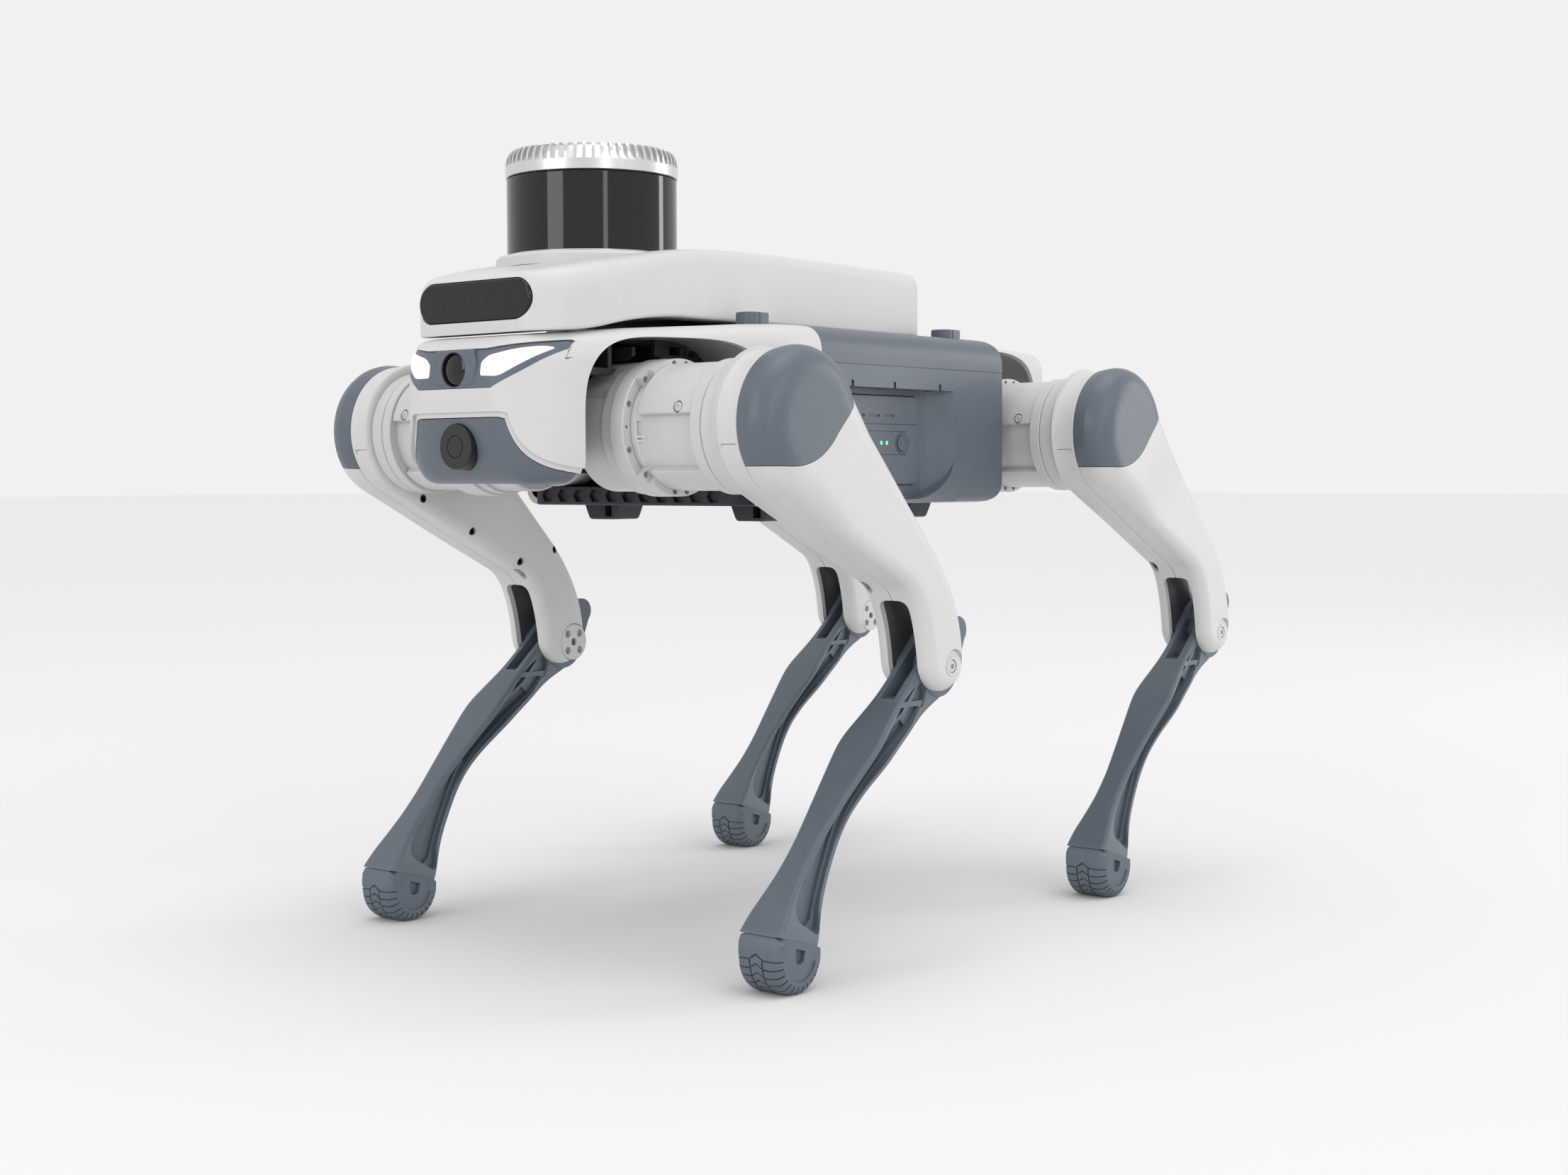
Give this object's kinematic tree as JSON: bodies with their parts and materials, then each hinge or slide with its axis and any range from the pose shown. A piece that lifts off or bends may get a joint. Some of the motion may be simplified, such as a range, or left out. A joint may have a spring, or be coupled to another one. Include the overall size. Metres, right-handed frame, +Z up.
{
  "type": "quadruped robot dog",
  "caption": "Four-legged robot dog with hidden-rod knees, hip and knee joints, slide-out battery, sensor deck with depth camera and a round lidar on top.",
  "frame": {"origin": "on the ground, below the middle of the standing dog's bounding box", "axes": "+X forward to the face, +Y to the dog's left, +Z up"},
  "size_m": [0.6148, 0.37, 0.484],
  "materials": {
    "white_shell": "moulded, fine satin grain",
    "white_metal": "machined and painted satin white",
    "slate_shell": "moulded, satin",
    "slate_leg": "fibre-filled nylon, satin",
    "slate_frame": "painted satin",
    "dark_frame": "anodised, dark",
    "dark_tray": "moulded, ribbed",
    "foot_rubber": "matt, moulded tread",
    "gloss_black": "polished",
    "satin_black": "satin",
    "lidar_silver": "bead-blasted and anodised",
    "steel": "ground",
    "lamp": "translucent, lit white from behind"
  },
  "bodies": {
    "trunk": {"chassis": "dark_frame", "belly_tray": "dark_tray", "front_shell": "white_shell", "visor": "slate_shell", "eye_light_left": "lamp", "eye_light_right": "lamp", "front_camera": "gloss_black", "chin_cover": "slate_shell", "sonar_disc": "satin_black", "rear_shell": "white_shell", "battery_housing": "slate_shell", "side_cover_right": "slate_shell", "payload_frame": "slate_frame", "sensor_deck": "white_shell", "depth_camera": "gloss_black", "lidar_base": "lidar_silver", "lidar_window": "gloss_black", "lidar_cap": "lidar_silver"},
    "battery": {"battery_pack": "slate_shell"},
    "button": {"power_button": "slate_shell"},
    "front_left_hip": {"front_left_hip_bracket": "white_metal", "front_left_thigh_actuator": "white_metal"},
    "front_left_thigh": {"front_left_thigh_inner": "white_shell", "front_left_thigh_outer": "white_shell", "front_left_hip_cap": "slate_shell", "front_left_knee_axle": "steel"},
    "front_left_crank": {"front_left_knee_crank": "steel"},
    "front_left_rod": {"front_left_push_rod": "steel"},
    "front_left_lower_leg": {"front_left_shank": "slate_leg", "front_left_foot": "foot_rubber"},
    "front_right_hip": {"front_right_hip_bracket": "white_metal", "front_right_thigh_actuator": "white_metal"},
    "front_right_thigh": {"front_right_thigh_inner": "white_shell", "front_right_thigh_outer": "white_shell", "front_right_hip_cap": "slate_shell", "front_right_knee_axle": "steel"},
    "front_right_crank": {"front_right_knee_crank": "steel"},
    "front_right_rod": {"front_right_push_rod": "steel"},
    "front_right_lower_leg": {"front_right_shank": "slate_leg", "front_right_foot": "foot_rubber"},
    "rear_left_hip": {"rear_left_hip_bracket": "white_metal", "rear_left_thigh_actuator": "white_metal"},
    "rear_left_thigh": {"rear_left_thigh_inner": "white_shell", "rear_left_thigh_outer": "white_shell", "rear_left_hip_cap": "slate_shell", "rear_left_knee_axle": "steel"},
    "rear_left_crank": {"rear_left_knee_crank": "steel"},
    "rear_left_rod": {"rear_left_push_rod": "steel"},
    "rear_left_lower_leg": {"rear_left_shank": "slate_leg", "rear_left_foot": "foot_rubber"},
    "rear_right_hip": {"rear_right_hip_bracket": "white_metal", "rear_right_thigh_actuator": "white_metal"},
    "rear_right_thigh": {"rear_right_thigh_inner": "white_shell", "rear_right_thigh_outer": "white_shell", "rear_right_hip_cap": "slate_shell", "rear_right_knee_axle": "steel"},
    "rear_right_crank": {"rear_right_knee_crank": "steel"},
    "rear_right_rod": {"rear_right_push_rod": "steel"},
    "rear_right_lower_leg": {"rear_right_shank": "slate_leg", "rear_right_foot": "foot_rubber"}
  },
  "joints": [
    {"name": "battery_slide", "type": "slide", "parent": "trunk", "child": "battery", "axis": [0, 1, 0], "range_m": [0, 0.03]},
    {"name": "power_button_press", "type": "slide", "parent": "battery", "child": "button", "axis": [0, -1, 0], "range_m": [0, 0.0011], "stiffness_N_per_m": 600},
    {"name": "front_left_hip_roll", "type": "hinge", "parent": "trunk", "child": "front_left_hip", "pos_m": [0.20893, 0.062, 0.317], "axis": [1, 0, 0], "range_deg": [-24, 24]},
    {"name": "front_left_hip_pitch", "type": "hinge", "parent": "front_left_hip", "child": "front_left_thigh", "pos_m": [0.20893, 0.1605, 0.317], "axis": [0, -1, 0], "range_deg": [-78, 42]},
    {"name": "front_left_knee", "type": "hinge", "parent": "front_left_thigh", "child": "front_left_lower_leg", "pos_m": [0.0695, 0.1605, 0.17362], "axis": [0, -1, 0], "range_deg": [-53, 62]},
    {"name": "front_left_crank_turn", "type": "hinge", "parent": "front_left_thigh", "child": "front_left_crank", "pos_m": [0.20893, 0.1605, 0.317], "axis": [0, -1, 0], "range_deg": [-53, 62]},
    {"name": "front_left_rod_swing", "type": "hinge", "parent": "front_left_crank", "child": "front_left_rod", "pos_m": [0.18976, 0.1605, 0.33741], "axis": [0, -1, 0], "range_deg": [-62, 53]},
    {"name": "front_right_hip_roll", "type": "hinge", "parent": "trunk", "child": "front_right_hip", "pos_m": [0.20893, -0.062, 0.317], "axis": [-1, 0, 0], "range_deg": [-24, 24]},
    {"name": "front_right_hip_pitch", "type": "hinge", "parent": "front_right_hip", "child": "front_right_thigh", "pos_m": [0.20893, -0.1605, 0.317], "axis": [0, -1, 0], "range_deg": [-78, 42]},
    {"name": "front_right_knee", "type": "hinge", "parent": "front_right_thigh", "child": "front_right_lower_leg", "pos_m": [0.0695, -0.1605, 0.17362], "axis": [0, -1, 0], "range_deg": [-53, 62]},
    {"name": "front_right_crank_turn", "type": "hinge", "parent": "front_right_thigh", "child": "front_right_crank", "pos_m": [0.20893, -0.1605, 0.317], "axis": [0, -1, 0], "range_deg": [-53, 62]},
    {"name": "front_right_rod_swing", "type": "hinge", "parent": "front_right_crank", "child": "front_right_rod", "pos_m": [0.18976, -0.1605, 0.33741], "axis": [0, -1, 0], "range_deg": [-62, 53]},
    {"name": "rear_left_hip_roll", "type": "hinge", "parent": "trunk", "child": "rear_left_hip", "pos_m": [-0.14007, 0.062, 0.317], "axis": [1, 0, 0], "range_deg": [-24, 24]},
    {"name": "rear_left_hip_pitch", "type": "hinge", "parent": "rear_left_hip", "child": "rear_left_thigh", "pos_m": [-0.14007, 0.1605, 0.317], "axis": [0, -1, 0], "range_deg": [-78, 42]},
    {"name": "rear_left_knee", "type": "hinge", "parent": "rear_left_thigh", "child": "rear_left_lower_leg", "pos_m": [-0.2795, 0.1605, 0.17362], "axis": [0, -1, 0], "range_deg": [-53, 62]},
    {"name": "rear_left_crank_turn", "type": "hinge", "parent": "rear_left_thigh", "child": "rear_left_crank", "pos_m": [-0.14007, 0.1605, 0.317], "axis": [0, -1, 0], "range_deg": [-53, 62]},
    {"name": "rear_left_rod_swing", "type": "hinge", "parent": "rear_left_crank", "child": "rear_left_rod", "pos_m": [-0.15924, 0.1605, 0.33741], "axis": [0, -1, 0], "range_deg": [-62, 53]},
    {"name": "rear_right_hip_roll", "type": "hinge", "parent": "trunk", "child": "rear_right_hip", "pos_m": [-0.14007, -0.062, 0.317], "axis": [-1, 0, 0], "range_deg": [-24, 24]},
    {"name": "rear_right_hip_pitch", "type": "hinge", "parent": "rear_right_hip", "child": "rear_right_thigh", "pos_m": [-0.14007, -0.1605, 0.317], "axis": [0, -1, 0], "range_deg": [-78, 42]},
    {"name": "rear_right_knee", "type": "hinge", "parent": "rear_right_thigh", "child": "rear_right_lower_leg", "pos_m": [-0.2795, -0.1605, 0.17362], "axis": [0, -1, 0], "range_deg": [-53, 62]},
    {"name": "rear_right_crank_turn", "type": "hinge", "parent": "rear_right_thigh", "child": "rear_right_crank", "pos_m": [-0.14007, -0.1605, 0.317], "axis": [0, -1, 0], "range_deg": [-53, 62]},
    {"name": "rear_right_rod_swing", "type": "hinge", "parent": "rear_right_crank", "child": "rear_right_rod", "pos_m": [-0.15924, -0.1605, 0.33741], "axis": [0, -1, 0], "range_deg": [-62, 53]}
  ],
  "couplings": [
    {"joint": "front_left_crank_turn", "follows": "front_left_knee", "ratio": 1},
    {"joint": "front_left_rod_swing", "follows": "front_left_knee", "ratio": -1},
    {"joint": "front_right_crank_turn", "follows": "front_right_knee", "ratio": 1},
    {"joint": "front_right_rod_swing", "follows": "front_right_knee", "ratio": -1},
    {"joint": "rear_left_crank_turn", "follows": "rear_left_knee", "ratio": 1},
    {"joint": "rear_left_rod_swing", "follows": "rear_left_knee", "ratio": -1},
    {"joint": "rear_right_crank_turn", "follows": "rear_right_knee", "ratio": 1},
    {"joint": "rear_right_rod_swing", "follows": "rear_right_knee", "ratio": -1}
  ]
}
